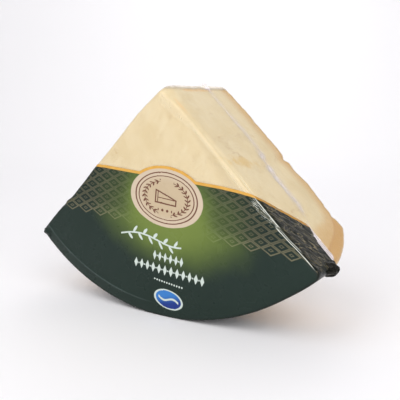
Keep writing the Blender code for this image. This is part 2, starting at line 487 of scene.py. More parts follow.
# the rind: spotted ochre, with brown and pale blotches and pale scuffs
RIND = linear(216, 180, 120)
RIND_SPOT = linear(196, 156, 96)
RIND_BROWN = linear(178, 136, 80)
RIND_PALE = linear(228, 202, 150)
RIND_SCUFF = linear(234, 212, 166)
rind_spots = paste.noise(place, 6, 5, 0.7)
blotches = paste.noise(place, 34, 4, 0.6)
scuffs = paste.noise(paste.stretch(wheel, (0, 0, 0), (1, 14, 4)), 2.2, 3)
rind_colour = paste.blend(paste.step(rind_spots, 0.36, 0.66), RIND, RIND_SPOT)
rind_colour = paste.blend(paste.step(blotches, 0.5, 0.72) * 0.6, rind_colour, RIND_BROWN)
rind_colour = paste.blend(paste.step(blotches, 0.45, 0.3) * 0.6, rind_colour, RIND_PALE)
rind_colour = paste.blend(paste.step(scuffs, 0.60, 0.76) * 0.45, rind_colour, RIND_SCUFF)
on_rind = paste.step(paste.stored("on_rind"), 0.3, 0.8)
relief = fine * 0.6 + flakes - cracks * 1.5 + (rind_spots + scuffs * 0.8) * on_rind
surface = paste.shader({
    "Base Color": paste.blend(on_rind, colour, rind_colour),
    "Roughness": paste.step(fine, 0.3, 0.7, 0.40, 0.56),
    "Coat Weight": on_rind * 0.6 + 0.15,
    "Coat Roughness": 0.25,
    "Normal": paste.bump(relief, 0.3 * MM, 0.5),
})
cheese.data.materials.append(paste.end(surface))
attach(cheese, "root")
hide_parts("wrapped_wedge")

# The print: the lower half of the front film, printed on its inside with a dark green field that a
# gold line ends. It is drawn tight over the front edges and under the rind, up to the weld. Places
# on the print are in millimetres, across from the axis and up from the floor.
PRINT_VOXEL = 1.0 * MM
PRINT_RISE = 0.15 * MM
PRINT_MARGIN = 3.0  # of the mesh beyond the print's edge
PRINT_BACK = 45  # where the print ends behind the front, high on a side cut, and at the rind
PRINT_BACK_LOW = 35.5
PRINT_BACK_FADE = (158, 182)
LINE_HEIGHT = 123.0
LINE_SLOPE = -0.0832
LINE_BEND_FROM = 57
LINE_BEND = 0.05
SLANT = math.sqrt(0.5)  # a side cut runs as far across as down
SIDE_PULL = 0.40  # how far the film is drawn down along the side cuts, for each length back
BADGE_PLACE = (4.6, 104.0)
BADGE_SIZE = (36.9, 24.6)
BADGE_TURN = math.radians(-6)
BADGE_RIM = 2.3
WAVE_SIZE = 38 * MM
WAVE_HEIGHT = 0.25 * MM
CREASE_HEIGHT = 0.5 * MM
CREASE_WIDTH = 0.9 * MM
CREASE_PATCH = 14 * MM
FOLD_WIDE = 8 * MM
FOLD_NARROW = 1.3 * MM
FOLD_NARROWS = (126 * MM, 168 * MM)
FOLD_START = (118 * MM, 130 * MM)
FOLD_END = (186 * MM, 195 * MM)
FOLD_HEIGHT = 0.5 * MM
FOLD_SIZE = 2.6 * MM
CRINKLE_HEIGHT = 0.32 * MM
CRINKLE_SIZES = (3.1 * MM, 1.7 * MM)
TINY = 1e-6


def unrolled(point, normal):
    """A point's place on the flat print: across from the axis, up from the floor, and back."""
    back = behind(point)
    across = point.x - AXIS_X
    outward = Vector((normal.x, normal.z))
    outward = outward.normalized() if outward.length > TINY else Vector((0, 0))
    out = outward * back * ramp(back, 0, 3 * MM)
    drawn = SIDE_PULL * back * ramp(abs(normal.x) + normal.z, 0.6, 1.2) * SLANT
    across += out.x + math.copysign(drawn, across)
    return Vector((across / MM, (point.z + out.y - drawn) / MM, back / MM))


def badge_rim(across, height):
    """Distance inside the plaque's edge."""
    turned = Vector((across - BADGE_PLACE[0], height - BADGE_PLACE[1]))
    turned.rotate(Matrix.Rotation(-BADGE_TURN, 2))
    share = math.hypot(turned.x / BADGE_SIZE[0], turned.y / BADGE_SIZE[1])
    slope = math.hypot(turned.x / BADGE_SIZE[0] ** 2, turned.y / BADGE_SIZE[1] ** 2)
    return (1 - share) / max(slope / max(share, TINY), TINY)


def line_height(across):
    """Height of the gold line's upper edge."""
    return LINE_HEIGHT + LINE_SLOPE * across - LINE_BEND * max(0.0, across - LINE_BEND_FROM)


def line_depth(point, normal):
    """Distance below the gold line's upper edge, or inside the plaque's."""
    across, height, _ = unrolled(point, normal)
    return max(line_height(across) - height, badge_rim(across, height) + BADGE_RIM)


def print_depth(point, normal):
    """Distance inside the print's outline."""
    radius = polar(point)[0] / MM
    last = PRINT_BACK + (PRINT_BACK_LOW - PRINT_BACK) * ramp(radius, *PRINT_BACK_FADE)
    last += 0.8 * math.sin(radius / 9)
    return min(line_depth(point, normal), last - unrolled(point, normal).z)


def run(point, normal):
    """Where a point lies along and across the nearer side edge, in millimetres, for streaks."""
    radius, angle = polar(point)
    inside = along_edge(point) * on_front(point)
    return Vector((radius / MM, (inside - behind(point)) / MM, math.copysign(50, angle)))


def edge_folds(point):
    """How strongly the film is folded along the front's right edge, from 0 to 1."""
    radius, angle = polar(point)
    width = FOLD_WIDE + (FOLD_NARROW - FOLD_WIDE) * ramp(radius, *FOLD_NARROWS)
    near = bell(along_edge(point), 0, width) * bell(behind(point), 0, 3 * MM)
    near *= 1.0 if angle > 0 else 0.3
    return near * ramp(radius, *FOLD_START) * (1 - ramp(radius, *FOLD_END))


def side_share(point, normal):
    """1 on the side cuts, away from the front edge and from the rind."""
    share = ramp(behind(point), 1.5 * MM, 5 * MM) * ramp(abs(normal.x), 0.45, 0.65)
    return share * (1 - ramp(polar(point)[0], 0.985 * WHEEL_RADIUS, WHEEL_RADIUS))


def crease_share(point, normal):
    """How strong the crease is that runs beside the rind from the left corner, from 0 to 1."""
    angle = math.degrees(polar(point)[1])
    fades = ramp(angle, -50, -42) * (1 - ramp(angle, -14, 0))
    return fades * (0.7 + 0.5 * noise.noise(point / CREASE_PATCH)) * on_front(point)


def print_shape(point, normal):
    """The printed film: smooth on the front, creased near the rind, crinkled on the side cuts."""
    radius, angle = polar(point)
    back = behind(point)
    wave = WAVE_HEIGHT * noise.noise(point / WAVE_SIZE) * on_front(point)
    crease = CREASE_HEIGHT * bell(radius, CREASE_RADIUS, CREASE_WIDTH) * crease_share(point, normal)
    lengthwise = Vector((radius * 0.22 + along_edge(point) * 0.4, along_edge(point), back))
    folds = edge_folds(point) * FOLD_HEIGHT * ridged(lengthwise, FOLD_SIZE)
    flow = Vector(((radius + back) * 0.25, (back - radius) * 0.7, angle * 0.02))
    flow += Vector((0, 3.5 * MM * noise.noise(point / (15 * MM)), 0))
    fine_flow = flow + Vector((0.03, 0.01, 0))
    crinkle = ridged(flow, CRINKLE_SIZES[0]) + 0.6 * ridged(fine_flow, CRINKLE_SIZES[1]) - 0.6
    crinkle *= CRINKLE_HEIGHT * side_share(point, normal)
    return point + normal * (wave + crease + folds + crinkle + PRINT_RISE - worn(point))


def trim(piece, side):
    """Cuts away what lies past the print's outline, on its outer side (1) or its inner side (-1)."""
    mesh = bmesh.new()
    mesh.from_mesh(piece.data)
    depth_key = mesh.verts.layers.float["print_depth"]
    waste = [vert for vert in mesh.verts if vert[depth_key] * side < -PRINT_MARGIN]
    bmesh.ops.delete(mesh, geom=waste, context="VERTS")
    mesh.to_mesh(piece.data)
    mesh.free()


printed = skin("printed_film", PRINT_VOXEL)
paint(printed, "print_place", unrolled, "FLOAT_VECTOR")
paint(printed, "print_depth", print_depth)
paint(printed, "line_depth", line_depth)
paint(printed, "run", run, "FLOAT_VECTOR")
paint(printed, "edge_folds", lambda point, normal: edge_folds(point))
paint(printed, "side_share", side_share)
paint(printed, "crease_share", crease_share)
reshape(printed, print_shape)
trim(printed, 1)

ink = Finish("printed_film")
spot = ink.stored("print_place", "Vector")
across = ink.part(spot, "X") + (ink.noise(spot, 30, 2) - 0.5) * 1.5
height = ink.part(spot, "Y") + (ink.noise(spot, 24, 2) - 0.5) * 1.5
on_side = ink.step(ink.part(spot, "Z"), 1.0, 3.5)


def leaned(across, height, middle, angle):
    """Places turned about a middle point, so that a motif can lean."""
    right = across - middle[0]
    up = height - middle[1]
    cosine = math.cos(angle)
    sine = math.sin(angle)
    return right * cosine + up * sine, up * cosine - right * sine


def oval(right, up, half_width, half_height):
    """1 at an oval's edge, less inside, more outside."""
    return ((right / half_width) ** 2 + (up / half_height) ** 2) ** 0.5


def repeated(along, pitch):
    """Distance from the middle of the nearest of a row of cells."""
    return ((along / pitch).fract() - 0.5) * pitch


# green field, lighter behind the plaque
FIELD = linear(29, 43, 37)
FIELD_LIGHTER = linear(34, 48, 43)
GLOW = linear(96, 114, 54)
GLOW_MIDDLE = linear(116, 132, 64)
GLOW_PLACE = (7, 90)
GLOW_SIZE = (83, 47)
glow = oval(*leaned(across, height, GLOW_PLACE, math.radians(-10)), *GLOW_SIZE)
glow = glow + (ink.noise(spot, 30, 3) - 0.5) * 0.25
field = ink.blend(ink.noise(spot, 60, 2), FIELD, FIELD_LIGHTER)
field = ink.blend(ink.step(glow, 1.16, 0.38), field, GLOW)
field = ink.blend(ink.step(glow, 0.80, 0.25) * 0.6, field, GLOW_MIDDLE)

# khaki trellis at both ends of the gold line, each lozenge with a small one inside
KHAKI = linear(126, 120, 94)
KHAKI_GREEN = linear(118, 134, 80)
BEHIND_TRELLIS = linear(22, 34, 29)
CELL_WIDE = 17.0
CELL_HIGH = 9.4
TRELLIS_ROWS = 5
TRELLIS_LEFT = (-26, -44)
TRELLIS_RIGHT = (36, 58)
level = height - LINE_SLOPE * across - LINE_HEIGHT
one = across / CELL_WIDE + level / CELL_HIGH
two = across / CELL_WIDE - level / CELL_HIGH
from_middle = abs(one.fract() - 0.5).most(abs(two.fract() - 0.5))
bars = ink.step(from_middle, 0.355, 0.395)
bar_gap = ink.step(from_middle, 0.47, 0.49)
stitches = ink.step(((one + two) * 9).fract(), 0.15, 0.35)
small = ink.step(from_middle, 0.17, 0.13) * ink.step(from_middle, 0.06, 0.09)
row = two.floor() - one.floor()
in_rows = (row < TRELLIS_ROWS * 2 - 0.5) * (row > -1.5)
aside = ink.step(across, *TRELLIS_LEFT) + ink.step(across, *TRELLIS_RIGHT)
trellis = (bars * (1 - bar_gap * 0.6) * (0.55 + 0.45 * stitches)).most(small * 0.8) * in_rows * aside
khaki = ink.blend(ink.step(glow, 1.0, 0.5), KHAKI, KHAKI_GREEN)
field = ink.blend(trellis * 0.8 * (1 - on_side * 0.5), field, khaki)
field = ink.blend(aside * ink.step(level, -50, -30) * 0.5, field, BEHIND_TRELLIS)

# cream plaque with a double brown ring, round a wreath, a wedge and a row of dots
CREAM = linear(190, 171, 142)
CREAM_RIM = linear(200, 183, 160)
BROWN = linear(104, 66, 52)
RINGS = ((31.4, 21.4, 0.028), (28.2, 18.4, 0.025))  # half width, half height, share of a line's edge
WREATH_RADIUS = 22.0
WREATH_FLAT = 0.64
WREATH_LEAVES = 26
WREATH_PITCH = 5.2
WREATH_GAP = 6.5  # open at its top and its foot
WEDGE_HALF = 11
WEDGE_FOOT = 5.5
WEDGE_TOP = 6.5
WEDGE_SLOPE = 0.30
WEDGE_RIND = 8.2
WEDGE_BAND = 0.6
DOT_PITCH = 5
DOT_HEIGHT = 10.6
DOT_RADIUS = 1.3
DOT_ROW = 7.4
right, up = leaned(across, height, BADGE_PLACE, BADGE_TURN)
plaque = oval(right, up, *BADGE_SIZE)
turn = ink.reckon("ARCTAN2", up / WREATH_FLAT, right)
leaf_along = ((turn * (WREATH_LEAVES / (2 * math.pi))).fract() - 0.5) * WREATH_PITCH
leaf_out = oval(right, up, 1, WREATH_FLAT) - WREATH_RADIUS
wreath = ink.line(leaf_out, 0.5, 0.25)
for lean in (-1, 1):
    leaf = oval(*leaned(leaf_along, leaf_out, (0, lean * 1.5), lean * 0.7), 2.3, 0.85)
    wreath = wreath.most(ink.step(leaf, 1.1, 0.8))
drawing = wreath * (abs(right) > WREATH_GAP)
for half_width, half_height, edge in RINGS:
    ring = oval(right, up, half_width, half_height) - 1
    drawing = drawing.most(ink.line(ring, edge, edge / 2))
wedge_top = WEDGE_TOP - (right + WEDGE_HALF) * WEDGE_SLOPE
wedge_in = (WEDGE_HALF - abs(right)).least((up + WEDGE_FOOT).least(wedge_top - up))
drawing = drawing.most(ink.line(wedge_in - 0.6, 0.75, 0.45))
drawing = drawing.most(ink.line(right + WEDGE_RIND, 0.55, 0.3) * (wedge_in > 0))
drawing = drawing.most(ink.line(up + WEDGE_BAND, 0.5, 0.25) * (wedge_in > 0) * (right > -WEDGE_RIND))
dots = oval(repeated(right, DOT_PITCH), up + DOT_HEIGHT, DOT_RADIUS, DOT_RADIUS)
drawing = drawing.most(ink.step(dots, 1.1, 0.8) * (abs(right) < DOT_ROW))
plate = ink.blend(ink.step(plaque, 0.5, 0.9), CREAM, CREAM_RIM)
plate = ink.blend(drawing, plate, BROWN)
colour = ink.blend(ink.step(plaque, 1.012, 0.992), field, plate)

# white sprig, two bands of lozenges and a dotted rule
WHITE = linear(198, 209, 202)
SPRIG_START = -44
SPRIG_LENGTH = 64
SPRIG_HEIGHT = 69
SPRIG_LEAVES = 6
SPRIG_PITCH = 10.6
BANDS_ACROSS = 6.3
BANDS_TURN = math.radians(-6)
BANDS = ((52.5, 16.5, 4.3, 5.5), (41.5, 37.5, 4.5, 6.25))  # height, half length, half height, pitch
RULE_PLACE = (BANDS_ACROSS, 31.0)
RULE_TURN = math.radians(-8)
RULE_HALF = 15.6
RULE_PITCH = 2.6
RULE_DOT = 0.85
sprig_run = (across - SPRIG_START) / SPRIG_LENGTH
from_sprig = height - (SPRIG_HEIGHT + (sprig_run * 5.2).sine() * 3.4 - sprig_run * 3)
marks = ink.line(from_sprig, 0.95, 0.45) * (sprig_run > 0) * (sprig_run < 1)
for lean, offset in ((1, 0.0), (-1, 0.5)):
    leaf_along = ((sprig_run * SPRIG_LEAVES + offset).fract() - 0.5) * SPRIG_PITCH
    leaf = oval(*leaned(leaf_along, from_sprig, (0, lean * 3.0), lean * 0.9), 3.5, 1.25)
    leaf = ink.step(leaf, 1.08, 0.85) * (sprig_run > 0.12) * (sprig_run < 0.94)
    marks = marks.most(leaf)
for middle, half_length, half_height, pitch in BANDS:
    right, up = leaned(across, height, (BANDS_ACROSS, middle), BANDS_TURN)
    from_lozenge = abs(repeated(right, pitch))
    lozenge = from_lozenge / (pitch * 0.33) + abs(up) / half_height
    dot = oval(pitch / 2 - from_lozenge, up, 0.7, 0.7)
    band = ink.step(lozenge, 1.06, 0.94).most(ink.step(dot, 1.15, 0.85))
    marks = marks.most(band * (abs(right) < half_length - 0.9))
right, up = leaned(across, height, RULE_PLACE, RULE_TURN)
dots = oval(repeated(right, RULE_PITCH), up, RULE_DOT, RULE_DOT)
marks = marks.most(ink.step(dots, 1.1, 0.8) * (abs(right) < RULE_HALF))
colour = ink.blend(marks, colour, WHITE)

# blue oval seal with a white rim and a pale wave
SEAL_PLACE = (6.3, 16.4)
SEAL_SIZE = (15.0, 8.6)
SEAL_TURN = math.radians(-9)
SEAL_DARK = linear(34, 56, 128)
SEAL_LIGHT = linear(58, 120, 190)
right, up = leaned(across, height, SEAL_PLACE, SEAL_TURN)
seal = oval(right, up, *SEAL_SIZE)
blue = ink.blend(ink.step(right * 0.4 - up, 5, -5), SEAL_DARK, SEAL_LIGHT)
wave = up - (right * 0.32).sine() * 1.6
blue = ink.blend(ink.line(wave, 1.2, 0.6) * (abs(right) < 10.5), blue, WHITE)
blue = ink.blend(ink.step(seal, 0.86, 0.90), blue, WHITE)
colour = ink.blend(ink.step(seal, 1.03, 0.98), colour, blue)

# the darker, browner ink of the stretched sides, then the gold line at the print's edge
SIDE_INK = linear(4, 3, 1)
SIDE_INK_LIGHTER = linear(14, 12, 5)
GOLD = linear(200, 146, 58)
GOLD_LIGHTER = linear(218, 172, 90)
GOLD_SIDE = linear(206, 140, 36)
side_ink = ink.blend(ink.noise(spot, 9, 3), SIDE_INK, SIDE_INK_LIGHTER)
colour = ink.blend(on_side * 0.75, colour, side_ink)
gold = ink.blend(ink.noise(spot, 6, 2), GOLD, GOLD_LIGHTER)
gold = ink.blend(on_side * 0.5, gold, GOLD_SIDE)
gold_line = ink.step(ink.stored("line_depth"), 2.6, 2.1)
colour = ink.blend(gold_line * (1 - on_side * 0.25), colour, gold)

# painted highlights where the film is folded: streaks and three crisp ridges along the right edge
FOLD_HIGHLIGHT = linear(214, 218, 208)
run_place = ink.stored("run", "Vector")
run_along = ink.part(run_place, "X")
run_in = ink.part(run_place, "Y")
slanted = ink.stretch(run_place, (0, 0, math.radians(-12)), (5.5, 1, 1))
streaks = ink.line(ink.noise(slanted, 1.9, 3, 0.6, 0.4) - 0.5, 0.045, 0.010)
fold_highlights = streaks * ink.step(ink.stored("edge_folds"), 0.15, 0.9) * ink.step(run_in, -2.5, 0)
wobble = (ink.noise(ink.stretch(run_place, (0, 0, 0), (1, 90, 90)), 9, 2) - 0.5) * 1.6
first = ink.line(run_in + 1.4 + wobble, 0.75, 0.25)
first = first * ink.step(run_along, 122, 128) * ink.step(run_along, 156, 151)
ridge_in = run_in - (ink.step(run_along, 150, 190, 1.4, -2.4) + wobble * 0.5)
second = ink.line(ridge_in, 0.60, 0.22)
second = second * ink.step(run_along, 150, 155) * ink.step(run_along, 196, 188)
third = ink.line(ridge_in + 1.9, 0.50, 0.2)
third = third * ink.step(run_along, 156, 161) * ink.step(run_along, 181, 174)
ridge_highlights = first.most(second).most(third * 0.7) * (ink.part(run_place, "Z") > 0)
fold_highlights = fold_highlights.most(ridge_highlights)
# the folds' painted highlights laid over the print
colour = ink.blend(fold_highlights * 0.9, colour, FOLD_HIGHLIGHT)

# painted highlights: along the crease beside the rind, and along the crinkled contours of the sides
CREASE_HIGHLIGHT = linear(112, 126, 124)
CRINKLE_HIGHLIGHT = linear(132, 122, 96)
crease_highlight = ink.line(run_along - CREASE_RADIUS / MM, 0.9, 0.3) * ink.stored("crease_share")
# painted highlight along the crease beside the rind
colour = ink.blend(crease_highlight * 0.27, colour, CREASE_HIGHLIGHT)
shallow = ink.stretch(run_place, (0, 0, math.radians(-40)), (3.6, 1, 1))
contour = abs((ink.noise(shallow, 8, 1, 0.5, 1.4) * 6).fract() - 0.5)
crinkled = ink.stored("side_share")
# painted highlights along the crinkles of the side cuts
crinkle_highlights = ink.step(contour, 0.13, 0.04) * crinkled * ink.step(ink.noise(spot, 8, 3), 0.30, 0.54)
surface = ink.shader({
    "Base Color": ink.blend(crinkle_highlights * 0.75, colour, CRINKLE_HIGHLIGHT),
    "Roughness": ink.step(ink.noise(spot, 20, 3), 0.3, 0.7, 0.24, 0.36),
    "Specular IOR Level": 0.17,
    "Alpha": ink.step(ink.stored("print_depth"), -0.15, 0.15),
    "Normal": ink.bump(fold_highlights * 0.4 - contour * crinkled * 0.5, 0.6 * MM, 0.5),
})
printed.data.materials.append(ink.end(surface))
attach(printed, "root")
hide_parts("wrapped_wedge")

# The clear film: thin shrink film, tight on the cuts and the rind, bridging the tip, with soft wrinkles
# and a milky look where it is doubled, stretched or stands off the cheese, and a painted highlight in the
# band along the front's right edge.
CLEAR_VOXEL = 1.25 * MM
WELD_WRINKLE = 0.22 * MM
WELD_WRINKLE_SIZE = 4.5 * MM
SIDE_WRINKLE = 0.16 * MM
SIDE_WRINKLE_SIZE = 19 * MM
HAZE = 0.03  # everywhere, and what the band on the right front edge and the tip add
# the band's share is partly the film standing off the worn edge, partly a painted highlight
HAZE_AND_HIGHLIGHT_BAND = 0.36
HAZE_TIP = 0.72
FROST_SOFT = 0.16  # beside the weld near the tip, in two patches, in a strip, and near the rind
FROST_PATCHES = ((88, 0.35), (103, 0.55))  # distance from the axis, strength
FROST_STRIP = 0.40
FROST_LOW = 0.66
FROST_MOST = 0.9
FILM_IOR = 1.35
FILM_CREAM = linear(255, 244, 214)
FILM_TIP = linear(220, 208, 188)
FILM_FROST = linear(234, 228, 231)


def weld_back(radius):
    """How far behind the front the weld runs, at a distance from the wheel's axis."""
    from_axis = radius / MM
    back = 66 + 1.5 * bell(from_axis, 60, 12) - 9 * ramp(from_axis, 75, 105)
    back -= 13.5 * ramp(from_axis, 140, 168) + 7 * ramp(from_axis, 190, 200)
    return back * MM


def clear_place(point, normal):
    """Tight film with shallow wrinkles on the side cuts, finer ones beside the weld."""
    radius, angle = polar(point)
    back = behind(point)
    from_weld = (back - weld_back(radius)) / MM
    tight = ramp(abs(normal.x), 0.5, 0.65)
    flow = Vector((radius, back * 0.35, angle * 0.03))
    wrinkle = WELD_WRINKLE * bell(from_weld, 0, 9) * tight * ridged(flow, WELD_WRINKLE_SIZE)
    wide = Vector((radius * 0.8, back * 0.5, point.z * 0.3)) + point * 0.15
    wrinkle += SIDE_WRINKLE * tight * ridged(wide, SIDE_WRINKLE_SIZE)
    return point + normal * (wrinkle - worn(point))


def haze_and_highlight(point, normal):
    """How much the film looks cream: in the band where it stands off the front edge, which also carries a
    painted highlight, and at the tip.
    """
    radius, angle = polar(point)
    wide = edge_band(radius) + 0.8 * MM * noise.noise(point / (9 * MM))
    # the band: the film stands off the worn edge here, and its cream is also a painted highlight
    band = 1 - ramp(along_edge(point), 0.8 * wide, 1.15 * wide)
    band *= (1 - ramp(behind(point), 0.8 * MM, 1.6 * MM)) * (1.0 if angle > 0 else 0.1)
    return HAZE + HAZE_AND_HIGHLIGHT_BAND * band + HAZE_TIP * ramp(point.z, high.z - 4.5 * MM, high.z - 1.5 * MM)


def frost(point, normal):
    """How whitish the film looks beside the weld, where it is doubled and pulled off the cheese."""
    radius = polar(point)[0]
    from_weld = (behind(point) - weld_back(radius)) / MM
    near = radius / MM
    white = FROST_SOFT * bell(from_weld, 0, 5) * (1 - ramp(near, 80, 100))
    white += sum(share * bell(near, place, 5) for place, share in FROST_PATCHES) * bell(from_weld, 1, 5)
    strip = ramp(near, 106, 114) * (1 - ramp(near, 142, 156))
    white += FROST_STRIP * strip * bell(from_weld, -1, 4)
    low_strip = ramp(near, 156, 172) * (1 - ramp(near, 194, 198))
    low_strip *= ramp(behind(point), 34 * MM, 37 * MM) * (1 - ramp(from_weld, -1.5, 1.0))
    return min(FROST_MOST, (white + FROST_LOW * low_strip) * ramp(abs(normal.x), 0.5, 0.65))


def edge_pleats(point, normal):
    """How strongly the film is gathered along the right front edge, just above the print."""
    radius, angle = polar(point)
    near = bell(along_edge(point), 0, 6 * MM) * bell(behind(point), 0, 5 * MM)
    return near * ramp(radius, 92 * MM, 112 * MM) * ramp(angle, 0, HALF_ANGLE / 2)


clear = skin("clear_film", CLEAR_VOXEL)
paint(clear, "haze_and_highlight", haze_and_highlight)
paint(clear, "frost", frost)
paint(clear, "edge_pleats", edge_pleats)
paint(clear, "rear", lambda point, normal: ramp(normal.y, 0.5, 0.8))
paint(clear, "wheel_place", wheel_place, "FLOAT_VECTOR")
paint(clear, "print_depth", print_depth)
reshape(clear, clear_place)
trim(clear, -1)

film = Finish("clear_film")
place = film.place()
uneven = film.step(film.noise(place, 14, 4), 0.2, 0.8, 0.7, 1.3)
lengthwise = film.stretch(film.stored("wheel_place", "Vector"), (0, 0, 0), (16, 1, 1))
threads = film.line(film.noise(lengthwise, 3.4, 2, 0.5, 0.2) - 0.5, 0.06, 0.01)
frosted = film.stored("frost") * uneven * (0.75 + 0.9 * threads)
streaks = film.noise(film.stretch(place, (0, HALF_ANGLE, 0), (4, 1, 1)), 4, 4, 0.6, 0.5)
drawn = film.stretch(place, (0, math.radians(24), 0), (7, 1, 1))
pulls = film.line(film.noise(drawn, 16, 1, 0.5, 0.3) - 0.5, 0.018, 0.003) * film.stored("rear")
pulls = pulls * film.step(film.noise(place, 40, 2), 0.46, 0.62)
milk_and_highlight = film.stored("haze_and_highlight") * uneven + film.step(streaks, 0.60, 0.8) * 0.07
milk_and_highlight = milk_and_highlight + pulls * 0.22 + threads * film.stored("edge_pleats") * 0.5
at_tip = film.step(film.part(place, "Z"), high.z / MM - 5, high.z / MM - 2)
body_colour = film.blend(at_tip, FILM_CREAM, FILM_TIP)
body_colour = film.blend(film.step(frosted, 0.03, 0.15), body_colour, FILM_FROST)
gloss = film.add("ShaderNodeFresnel", {}, {"IOR": FILM_IOR})
see = film.add("ShaderNodeBsdfTransparent", {}, {})
body = film.shader({
    "Base Color": body_colour,
    "Roughness": 0.2,
    "Normal": film.bump(film.noise(place, 6, 4) + pulls * 0.6, 0.4 * MM, 0.5),
})
cover = (milk_and_highlight + frosted + gloss * 0.3).least(1.0)
surface = film.add("ShaderNodeMixShader", {}, {0: cover, 1: see, 2: body})
clear.data.materials.append(film.end(surface))
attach(clear, "root")
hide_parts("wrapped_wedge")

# The weld: where the front and the back film are sealed together round the pack, a narrow whitish
# fin that lies down on the film, from the gathered corner over the tip and back under the rind.
WELD_HALF = 0.6 * MM
WELD_HEIGHT = 0.35 * MM
WELD_RISE = 0.15 * MM
WELD_DRIFT = 0.9 * MM
WELD_STEPS = 900
WELD_PROFILE = (-0.15, 0.35, 0.85, 1.0, 0.55, 0.30, -0.15)
WELD_END = 194  # from the axis, on the right cut and on the left one
WELD_TIP = 4
WELD_PITCH = 2
WELD_UNDER = 44  # degrees to both sides, under the rind
WELD_SMOOTHINGS = 6
NIB_HEIGHT = 2.0 * MM  # of the fin over the tip
NIB_REACH = 4 * MM
NIB_FROM = 12 * MM
WELD_WHITE = linear(255, 244, 242)
WELD_SHADE = linear(244, 230, 228)
LAST_ROW = len(WELD_PROFILE) - 1


def cut_point(side, radius):
    """A point of the weld's line on a side cut, or where the two cuts would meet."""
    across = radius * SLANT
    return Vector((AXIS_X + side * across, low.y + weld_back(radius), WHEEL_RADIUS - across))


def rind_point(angle):
    """A point of the weld's line under the rind."""
    across = WHEEL_RADIUS * math.sin(angle)
    down = WHEEL_RADIUS * math.cos(angle)
    return Vector((AXIS_X + across, low.y + weld_back(WHEEL_RADIUS), WHEEL_RADIUS - down))


weld_line = [cut_point(1, radius * MM) for radius in range(WELD_END, WELD_TIP, -WELD_PITCH)]
weld_line += [cut_point(-1, radius * MM) for radius in range(WELD_TIP, WELD_END + 2, WELD_PITCH)]
weld_line += [rind_point(math.radians(turn)) for turn in range(-WELD_UNDER, WELD_UNDER + 1)]
for _ in range(WELD_SMOOTHINGS):
    inner = [(one + other) / 2 for one, other in zip(weld_line[:-2], weld_line[2:])]
    weld_line = [weld_line[0], *inner, weld_line[-1]]
runs = [0.0]
for one, other in zip(weld_line, weld_line[1:]):
    runs.append(runs[-1] + (other - one).length)


def on_weld(along):
    """The point of the weld's line at a distance along it."""
    index = min(len(runs) - 2, max(0, bisect_right(runs, along) - 1))
    share = (along - runs[index]) / (runs[index + 1] - runs[index])
    return weld_line[index].lerp(weld_line[index + 1], share)


mesh = bmesh.new()
bmesh.ops.create_grid(mesh, x_segments=WELD_STEPS, y_segments=LAST_ROW, size=1)
columns = {}
for vert in mesh.verts:
    columns.setdefault(round((vert.co.x + 1) / 2 * WELD_STEPS), []).append(vert)
for step, column in columns.items():
    along = runs[-1] * step / WELD_STEPS
    here = on_weld(along)
    ahead = on_weld(min(runs[-1], along + 1 * MM)) - on_weld(max(0.0, along - 1 * MM))
    foot, normal, _, _ = solid_tree.find_nearest(here)
    side = ahead.cross(normal).normalized()
    width = WELD_HALF * (1.0 + 0.45 * noise.noise(Vector((along / (7 * MM), 0, 0))))
    lift = WELD_HEIGHT * (0.9 + 0.8 * noise.noise(Vector((along / (4 * MM), 5, 0))))
    lift += NIB_HEIGHT * bell(here.x - AXIS_X, 0, NIB_REACH) * (1 if here.z > high.z - NIB_FROM else 0)
    drift = WELD_DRIFT * noise.noise(Vector((along / (16 * MM), 9, 0)))
    for vert in column:
        row = round((vert.co.y + 1) / 2 * LAST_ROW)
        offset = (row / LAST_ROW * 2 - 1) * width + drift
        ground, up, _, _ = solid_tree.find_nearest(foot + side * offset)
        vert.co = ground + up * (lift * WELD_PROFILE[row] + WELD_RISE)
        vert.co.z = max(vert.co.z, low.z)
weld = new_piece("weld", mesh)
fin = Finish("weld")
place = fin.place()
broken = fin.step(fin.noise(place, 7, 4, 0.65), 0.44, 0.64)
broken = broken * (1 - 0.4 * fin.step(fin.part(place, "Z"), 125, 150))
surface = fin.shader({
    "Base Color": fin.blend(fin.step(fin.noise(place, 15, 2), 0.4, 0.6), WELD_WHITE, WELD_SHADE),
    "Roughness": 0.22,
    "Coat Weight": 0.6,
    "Alpha": fin.step(broken, 0, 1, 0.06, 0.66),
    "Normal": fin.bump(fin.noise(place, 1.8, 3), 0.4 * MM, 0.5),
})
weld.data.materials.append(fin.end(surface))
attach(weld, "root")
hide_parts("wrapped_wedge")

# The gathered corners: at the right corner the weld's end is bunched into a hard crumpled tail, and
# at the left corner the front film is pinched into a small round ear. Both are printed film.
TAIL_PLACE = Vector((0.1394, 0.031, 0.0562))
TAIL_WAY = Vector((0.95, 0.25, -0.18)).normalized()
TAIL_SIZE = (10.2 * MM, 6.1 * MM, 7.7 * MM)  # length, thickness, width
TAIL_PLEATS = 5
EAR_PLACE = Vector((-0.1394, 0.0055, 0.0592))
EAR_WAY = Vector((-0.97, 0, 0.24)).normalized()
EAR_SIZE = (7.0 * MM, 4.3 * MM, 6.2 * MM)
EAR_PLEATS = 2
PLEAT_SHARES = (0.13, 0.06)
CRUSH_SHARES = (0.10, 0.05)
KNOT = linear(9, 9, 6)
KNOT_LIGHTER = linear(22, 21, 15)
KNOT_CREASE = linear(120, 116, 100)
EAR_GREEN = linear(28, 41, 36)


